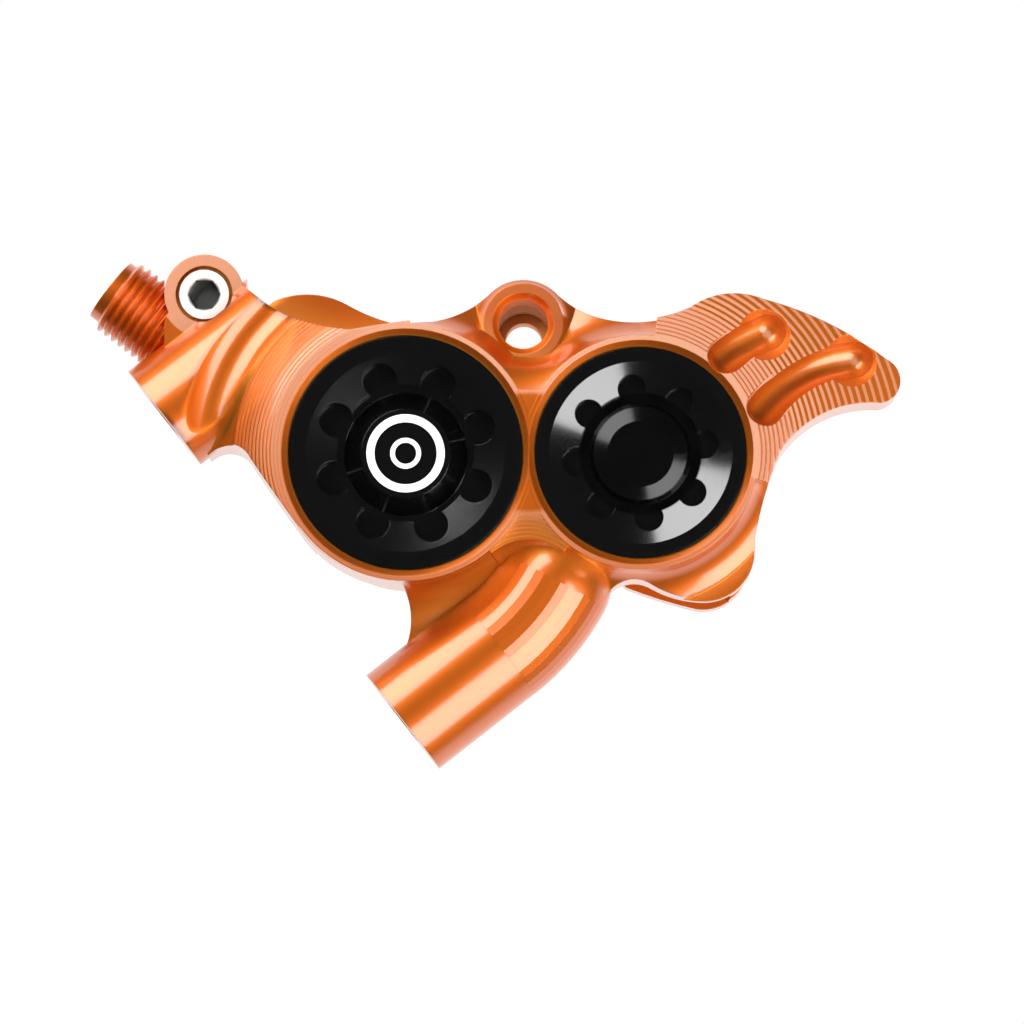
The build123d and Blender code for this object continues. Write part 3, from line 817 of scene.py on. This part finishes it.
def thread_ribbon(bm, place, run, seat, root, crest, pitch, steps):
    """Adds a thread as one ribbon wound at its pitch. A crest under the root points inwards."""
    profile = [
        (0.0, seat),
        (0.0, root),
        (CREST_RISE, crest),
        (CREST_END, crest),
        (CREST_FOOT, root),
        (1.0, root),
        (1.0, seat),
    ]
    total = int(steps * (run - pitch) / pitch)
    rings = []
    for step in range(total + 1):
        angle = 2 * math.pi * step / steps
        lift = pitch * step / steps
        rise = step / (steps * LEAD_IN)
        fall = (total - step) / (steps * RUN_OUT) + 0.02
        fade = min(1.0, rise, fall)
        ring = []
        for share, radius in profile:
            reach = root + (crest - root) * fade if radius == crest else radius
            ring.append(bm.verts.new(place @ on_circle(reach, angle, lift + share * pitch)))
        rings.append(ring)
    for first, second in zip(rings, rings[1:]):
        join_rings(bm, first, second)
    bm.faces.new(rings[0])
    bm.faces.new(rings[-1])


def ring_plate(bm, place, outer, inner, thickness, steps):
    """Adds a thin flat ring."""
    loops = []
    for radius, height in ((outer, 0), (outer, thickness), (inner, thickness), (inner, 0)):
        angles = [2 * math.pi * step / steps for step in range(steps)]
        loops.append([bm.verts.new(place @ on_circle(radius, angle, height)) for angle in angles])
    for first, second in zip(loops, loops[1:] + loops[:1]):
        join_rings(bm, first, second)


class CALIPER_OT_body(bpy.types.Operator):
    """Gives the machined body its orange anodised finish, with painted sheen on its flats and painted lift of the
    shade in its recesses
    """

    bl_idname = "caliper.body"
    bl_label = "Body"

    def execute(self, context):
        dress("caliper_body", orange_finish(context.scene.caliper_finish))
        return {"FINISHED"}


def bridge_row(inset, drop, hand, edge, radius, wall, steps=24):
    """The points of one arc across the gap between the bore rings."""
    centre = BRIDGE_MIDDLE + V_DIR * hand * (edge + radius)
    reach = radius + inset
    limits = []
    bores = ((LARGE_BORE, LARGE_CAP_RADIUS, -1), (SMALL_BORE, SMALL_CAP_RADIUS, 1))
    for bore, cap_radius, side in bores:
        offset = bore - centre
        span = offset.length
        ring = cap_radius + wall
        share = (reach**2 - ring**2 + span**2) / (2 * span * reach)
        lean = math.atan2(offset.dot(U_DIR), -hand * offset.dot(V_DIR))
        limits.append(lean - side * math.acos(min(1.0, share)))
    start, end = limits
    points = []
    for step in range(steps + 1):
        angle = start + (end - start) * step / steps
        place = centre + reach * (U_DIR * math.sin(angle) - V_DIR * hand * math.cos(angle))
        points.append(place + W_DIR * (FACE_HEIGHT - drop))
    return points


def add_web(bm, rows, foot):
    """Adds a closed web from its rows of points, down to its foot."""
    tops = [[bm.verts.new(point) for point in row] for row in rows]
    feet = [[bm.verts.new(p + W_DIR * (foot + p.y)) for p in row] for row in rows]
    last = len(rows[0]) - 1
    for index in range(len(rows) - 1):
        for step in range(last):
            for grid in (tops, feet):
                near, far = grid[index], grid[index + 1]
                bm.faces.new((near[step], near[step + 1], far[step + 1], far[step]))
        for step in (0, last):
            top, after = tops[index][step], tops[index + 1][step]
            bm.faces.new((top, after, feet[index + 1][step], feet[index][step]))
    for index in (0, len(rows) - 1):
        for step in range(last):
            top, foot_row = tops[index], feet[index]
            bm.faces.new((top[step], top[step + 1], foot_row[step + 1], foot_row[step]))


class CALIPER_OT_bridge(bpy.types.Operator):
    """Fills the gap between the bore rings with the milled webs above and below their line"""

    bl_idname = "caliper.bridge"
    bl_label = "Bridge webs"

    def execute(self, context):
        sizes = context.scene.caliper_bridge
        lower = [LOWER_WEB_START]
        for tread in range(sizes.treads + 1):
            inset = TREADS_WIDTH * (1 - tread / sizes.treads)
            lower.append((inset, max(FLUSH, TREAD_DROP * tread)))
            lower.append((inset, TREAD_DROP * (tread + 1)))
        lower += LOWER_WEB_FOOT
        orange = bpy.data.materials["orange_anodise"]
        bm = bmesh.new()
        for profile, hand, edge, radius in (
            (UPPER_WEB, 1, sizes.upper_edge, sizes.upper_radius),
            (lower, -1, sizes.lower_edge, sizes.lower_radius),
        ):
            rows = [
                bridge_row(inset * MM, drop * MM, hand, edge, radius, sizes.wall)
                for inset, drop in profile
            ]
            add_web(bm, rows, sizes.foot)
        keep_mesh("bore_bridge", bm, orange, "caliper")
        return {"FINISHED"}


class CALIPER_OT_caps(bpy.types.Operator):
    """Gives the bore caps their gloss black finish with turned lines"""

    bl_idname = "caliper.caps"
    bl_label = "Bore caps"

    def execute(self, context):
        sizes = context.scene.caliper_finish
        dress("bore_cap_large", black_finish("cap_black_large", LARGE_BORE, GLOSS_TO_CENTRE, sizes))
        dress("bore_cap_small", black_finish("cap_black_small", SMALL_BORE, SMALL_CAP_DULL, sizes))
        return {"FINISHED"}


class CALIPER_OT_mark(bpy.types.Operator):
    """Prints two plain rings on the large cap's hub"""

    bl_idname = "caliper.mark"
    bl_label = "Cap mark"

    def execute(self, context):
        sizes = context.scene.caliper_mark
        top = -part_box("bore_cap_large")[0].y - sizes.sink
        place = axis_frame(LARGE_BORE + W_DIR * top, W_DIR)
        bm = bmesh.new()
        for outer, band in (
            (sizes.outer_radius, sizes.band),
            (sizes.centre_radius, sizes.centre_band),
        ):
            ring_plate(bm, place, outer, outer - band, sizes.ink, steps=72)
        keep_mesh("cap_mark", bm, ink_finish(), "caliper")
        return {"FINISHED"}


class CALIPER_OT_pistons(bpy.types.Operator):
    """Finishes the pistons, their insulating noses and all the seals"""

    bl_idname = "caliper.pistons"
    bl_label = "Pistons and seals"

    def execute(self, context):
        moulded = moulded_finish()
        rubber = rubber_finish()
        for size, centre in (("large", LARGE_BORE), ("small", SMALL_BORE)):
            steel = steel_finish(f"piston_{size}", (0.66, 0.66, 0.68), roughness=0.22, centre=centre)
            for half in ("outer", "inner"):
                dress(f"piston_{half}_{size}", steel)
                dress(f"insert_{half}_{size}", moulded)
                dress(f"seal_{half}_{size}", rubber)
            dress(f"cap_seal_{size}", rubber)
        dress("bleed_seal", rubber)
        return {"FINISHED"}


class CALIPER_OT_pads(bpy.types.Operator):
    """Finishes the brake pads: coppered backing plates and granular linings"""

    bl_idname = "caliper.pads"
    bl_label = "Brake pads"

    def execute(self, context):
        plate = steel_finish("pad_plate", (0.62, 0.27, 0.13), roughness=0.38)
        lining = lining_finish()
        for half in ("outer", "inner"):
            dress(f"pad_plate_{half}", plate)
            dress(f"pad_lining_{half}", lining)
        return {"FINISHED"}


class CALIPER_OT_bleed_screw(bpy.types.Operator):
    """Gives the bleed screw its satin plating, with a painted highlight on its top rim and painted shade in its
    socket
    """

    bl_idname = "caliper.bleed_screw"
    bl_label = "Bleed screw"

    def execute(self, context):
        f = Finish("bleed_zinc")
        head = -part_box("bleed_screw")[0].y / MM
        height = f.parts(f.place)[1] * (-1 / MM)
        start, full = SCREW_LIT_RIM
        # Painted light: the top rim is painted bright white as a highlight, and everything deeper is painted dark
        # grey as the shade of the socket.
        rim = height.between(head - start, head - full)
        grain = f.noise(f.place, scale=3000.0, detail=3.0)
        turned = f.rings(BLEED_AXIS, TURNED_PITCH)
        edge = f.add("ShaderNodeBevel", {"samples": 4}, {"Radius": SCREW_EDGE})
        finish = f.shade(
            Base_Color=f.blend(rim, (0.3, 0.3, 0.28, 1), (0.93, 0.93, 0.92, 1)),
            Metallic=1 - rim * 0.75,
            Roughness=0.3 + grain * 0.1,
            Normal=f.relief(grain * 0.5 + turned * 0.5, 0.003 * MM, 0.5, edge),
        )
        dress("bleed_screw", finish)
        return {"FINISHED"}


def spring_path(top, foot, half):
    """The outside of the strip over the pads: places up the slot and across it."""
    path = [Vector((foot, half))]
    for side, start in ((1, 0), (-1, 90)):
        corner = Vector((top - SPRING_BEND, side * (half - SPRING_BEND)))
        for step in range(BEND_STEPS + 1):
            angle = math.radians(start + 90 * step / BEND_STEPS)
            path.append(corner + SPRING_BEND * Vector((math.sin(angle), math.cos(angle))))
    return path + [Vector((foot, -half))]


def inside_path(path):
    """The inside of the strip, one gauge from its outside."""
    inside = []
    for index, point in enumerate(path):
        before = path[max(index - 1, 0)]
        after = path[min(index + 1, len(path) - 1)]
        along = (after - before).normalized()
        inside.append(point + SPRING_GAUGE * Vector((along.y, -along.x)))
    return inside


def add_spring_arm(bm, side, hand, foot, half, reach):
    """Adds an arm that narrows and curls inwards towards its end."""
    shoulder = SPRING_LEG * SPRING_SHOULDER
    sections = []
    for share, curl in SPRING_ARM:
        right = hand * (shoulder + (reach - shoulder) * share)
        outer = side * (half - curl * MM)
        inner = outer - side * SPRING_GAUGE
        edge = foot + SPRING_ARM_WIDTH - SPRING_TAPER * SPRING_ARM_WIDTH * share
        corners = ((foot, outer), (edge, outer), (edge, inner), (foot, inner))
        points = [plan_point(right, up, ROTOR_PLANE + across) for up, across in corners]
        sections.append([bm.verts.new(point) for point in points])
    for first, second in zip(sections, sections[1:]):
        join_rings(bm, first, second)
    bm.faces.new(sections[0])
    bm.faces.new(sections[-1])


class CALIPER_OT_spring(bpy.types.Operator):
    """Makes the pad spring as a bent strip with rounded corners and curled arm ends"""

    bl_idname = "caliper.spring"
    bl_label = "Pad spring"

    def execute(self, context):
        low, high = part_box("pad_spring")
        half = (high.y - low.y) / 2
        points = [plan_coordinates(v.co) for v in frame["nodes"]["pad_spring"].data.vertices]
        reach = max(point.x for point in points)
        top = max(point.y for point in points)
        foot = min(point.y for point in points)
        path = spring_path(top, foot, half)
        bm = bmesh.new()
        rings = []
        for right in (-SPRING_LEG, SPRING_LEG):
            outer, inner = (
                [bm.verts.new(plan_point(right, p.x, ROTOR_PLANE + p.y)) for p in face]
                for face in (path, inside_path(path))
            )
            rings.append(outer + inner[::-1])
        bm.faces.new(rings[0])
        bm.faces.new(rings[1])
        join_rings(bm, *rings)
        for side in (1, -1):
            for hand in (1, -1):
                add_spring_arm(bm, side, hand, foot, half, reach)
        steel = steel_finish("spring_steel", (0.72, 0.72, 0.73), roughness=0.25)
        spring = keep_mesh("pad_spring_strip", bm, steel, "caliper")
        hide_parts("pad_spring")
        anchor = plan_point(0, 0, ROTOR_PLANE)
        travel = next(joint for joint in frame["joints"] if joint["name"] == "pad_outer_slide")
        keep = 1 - travel["range_m"][1] / half
        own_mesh(spring)
        return {"FINISHED"}


class CALIPER_OT_threads(bpy.types.Operator):
    """Winds the hose stub's thread and the threads in the mounting holes"""

    bl_idname = "caliper.threads"
    bl_label = "Threads"

    def execute(self, context):
        sizes = context.scene.caliper_thread
        orange = bpy.data.materials["orange_anodise"]
        stub = MOUNTS["hose_stub"]
        outward = Vector(stub["axis"])
        radius = stub["dims"]["r_mm"] * MM
        length = stub["dims"]["length_mm"] * MM
        start = Vector(stub["pos_m"]) + outward * (length / 2 + sizes.stub_lead)
        bm = bmesh.new()
        place = axis_frame(start, -outward)
        seat = radius - STUB_SEAT
        crest = radius + sizes.stub_crest
        steps = sizes.turn_steps
        thread_ribbon(bm, place, sizes.stub_run, seat, radius, crest, sizes.stub_pitch, steps)
        keep_mesh("hose_stub_thread", bm, orange, "caliper", smooth=25)
        holes = MOUNTS["mount_holes"]
        reach = holes["dims"]["hole_r_mm"] * MM
        middle_point = Vector(holes["pos_m"])
        inward = -Vector(holes["axis"])
        bm = bmesh.new()
        for side in (-1, 1):
            offset = Vector((side * holes["dims"]["spacing_x_mm"] * MM / 2, 0, 0))
            place = axis_frame(middle_point + offset + inward * HOLE_LEAD, inward)
            crest = reach - sizes.hole_crest
            seat = reach + THREAD_OVERLAP
            root = reach - THREAD_OVERLAP
            thread_ribbon(bm, place, sizes.hole_run, seat, root, crest, sizes.hole_pitch, steps)
        keep_mesh("mount_hole_threads", bm, orange, "caliper", smooth=25)
        return {"FINISHED"}


def aim(obj, place, target, up):
    """Places an object at a point, looking at a target along its own -Z."""
    back = (place - target).normalized()
    right = up.cross(back).normalized()
    above = back.cross(right)
    turn = Matrix((right, above, back)).transposed().to_4x4()
    obj.matrix_world = Matrix.Translation(place) @ turn


def soft_box(name, place, target, up, width, length, glow):
    """A rectangular light of a given radiance."""
    light = bpy.data.lights.new(name, "AREA")
    light.shape = "RECTANGLE"
    light.size = width
    light.size_y = length
    light.energy = glow * width * length * math.pi
    obj = bpy.data.objects.new(name, light)
    bpy.context.scene.collection.objects.link(obj)
    aim(obj, place, target, up)
    obj.visible_camera = False


class CALIPER_OT_stage(bpy.types.Operator):
    """Sets the floor, the white surroundings, the soft boxes and the camera"""

    bl_idname = "caliper.stage"
    bl_label = "Stage"

    def execute(self, context):
        sizes = context.scene.caliper_stage
        scene = context.scene
        self.build_world(scene)
        self.build_floor(scene, sizes)
        target = plan_point(0, 0, 0)
        reach = sizes.box_distance
        for name, (heading, lean, spread, length) in SOFT_BOXES.items():
            bearing = math.radians(heading)
            across = U_DIR * math.cos(bearing) + V_DIR * math.sin(bearing)
            turn = math.radians(lean)
            place = target + reach * (across * math.sin(turn) + W_DIR * math.cos(turn))
            width = 2 * reach * math.tan(math.radians(spread / 2))
            up = across * math.cos(turn) - W_DIR * math.sin(turn)
            soft_box(name, place, target, up, length * reach, width, sizes.box_glow)
        back = target + reach * BACK_BOX_PLACE
        width = BACK_BOX_WIDTH * reach
        soft_box("soft_box_back", back, target, Vector((0, 0, 1)), width, reach, BACK_BOX_GLOW)
        camera_data = bpy.data.cameras.new("camera")
        camera = bpy.data.objects.new("camera", camera_data)
        scene.collection.objects.link(camera)
        scene.camera = camera
        aimed_at = plan_point(*CAMERA_TARGET, FACE_HEIGHT)
        place = plan_point(*CAMERA_PLACE, FACE_HEIGHT + sizes.camera_distance)
        aim(camera, place, aimed_at, V_DIR)
        camera_data.sensor_width = SENSOR_WIDTH
        camera_data.lens = SENSOR_WIDTH * (place - aimed_at).length / sizes.frame_width
        camera_data.clip_start = 0.05
        camera_data.clip_end = 10.0
        scene.view_settings.view_transform = "Standard"
        return {"FINISHED"}

    def build_world(self, scene):
        """White for the camera and behind the part, dim round the lamps, plain for soft light."""
        world = bpy.data.worlds.new("studio")
        scene.world = world
        world.use_nodes = True
        g = Graph(world.node_tree)
        rays = g.add("ShaderNodeLightPath").output.node.outputs
        seen = Socket(g, rays["Is Camera Ray"])
        mirrored = Socket(g, rays["Is Glossy Ray"]).larger(Socket(g, rays["Is Transmission Ray"]))
        away = g.parts(g.add("ShaderNodeTexCoord", output="Generated"))[1]
        backdrop = away.between(*BACKDROP_EDGE)
        shown = DIM_ROOM + backdrop * (1 - DIM_ROOM)
        level = seen + (1 - seen) * (mirrored * shown + (1 - mirrored) * SOFT_ROOM)
        glow = g.add("ShaderNodeBackground", inputs={"Color": (1, 1, 1, 1), "Strength": level})
        g.add("ShaderNodeOutputWorld", inputs={"Surface": glow})

    def build_floor(self, scene, sizes):
        """A pale floor that shows white to the camera but keeps the shadow."""
        f = Finish("pale_floor")
        rays = f.add("ShaderNodeLightPath").output.node.outputs
        seen = Socket(f, rays["Is Camera Ray"])
        matt = f.add("ShaderNodeBsdfDiffuse", inputs={"Color": (0.8, 0.8, 0.8, 1)})
        glow = f.add("ShaderNodeEmission", inputs={"Color": (1, 1, 1, 1), "Strength": 1.0})
        mixed = f.add("ShaderNodeMixShader", inputs={0: seen * FLOOR_WHITE, 1: matt, 2: glow})
        f.add("ShaderNodeOutputMaterial", inputs={"Surface": mixed})
        bm = bmesh.new()
        bmesh.ops.create_circle(bm, cap_ends=True, radius=FLOOR_RADIUS, segments=96)
        mesh = bpy.data.meshes.new("floor")
        bm.to_mesh(mesh)
        bm.free()
        mesh.materials.append(f.material)
        floor = bpy.data.objects.new("floor", mesh)
        scene.collection.objects.link(floor)
        floor.location = (BORE_MIDDLE.x, 0, -sizes.floor_drop)
        floor.visible_glossy = False


OPERATORS = [
    CALIPER_OT_body,
    CALIPER_OT_bridge,
    CALIPER_OT_caps,
    CALIPER_OT_mark,
    CALIPER_OT_pistons,
    CALIPER_OT_pads,
    CALIPER_OT_bleed_screw,
    CALIPER_OT_spring,
    CALIPER_OT_threads,
    CALIPER_OT_stage,
]


class CALIPER_PT_panel(bpy.types.Panel):
    """Lists the steps that dress the caliper"""

    bl_idname = "CALIPER_PT_panel"
    bl_label = "Disc brake caliper"
    bl_space_type = "VIEW_3D"
    bl_region_type = "UI"
    bl_category = "Caliper"

    def draw(self, context):
        for operator in OPERATORS:
            self.layout.operator(operator.bl_idname)
        for name, group in GROUPS.items():
            box = self.layout.box()
            box.label(text=group.__doc__)
            for size in group.__annotations__:
                box.prop(getattr(context.scene, name), size)


def register():
    """Registers the sizes, the steps and the panel."""
    for group in GROUPS.values():
        bpy.utils.register_class(group)
    for operator in OPERATORS:
        bpy.utils.register_class(operator)
    bpy.utils.register_class(CALIPER_PT_panel)
    for name, group in GROUPS.items():
        setattr(bpy.types.Scene, name, PointerProperty(type=group))


def unregister():
    """Takes away what register adds."""
    for name in GROUPS:
        delattr(bpy.types.Scene, name)
    bpy.utils.unregister_class(CALIPER_PT_panel)
    for operator in reversed(OPERATORS):
        bpy.utils.unregister_class(operator)
    for group in reversed(list(GROUPS.values())):
        bpy.utils.unregister_class(group)


def main():
    """Runs every step."""
    register()
    for operator in OPERATORS:
        group, name = operator.bl_idname.split(".")
        getattr(getattr(bpy.ops, group), name)()


if __name__ == "__main__":
    main()
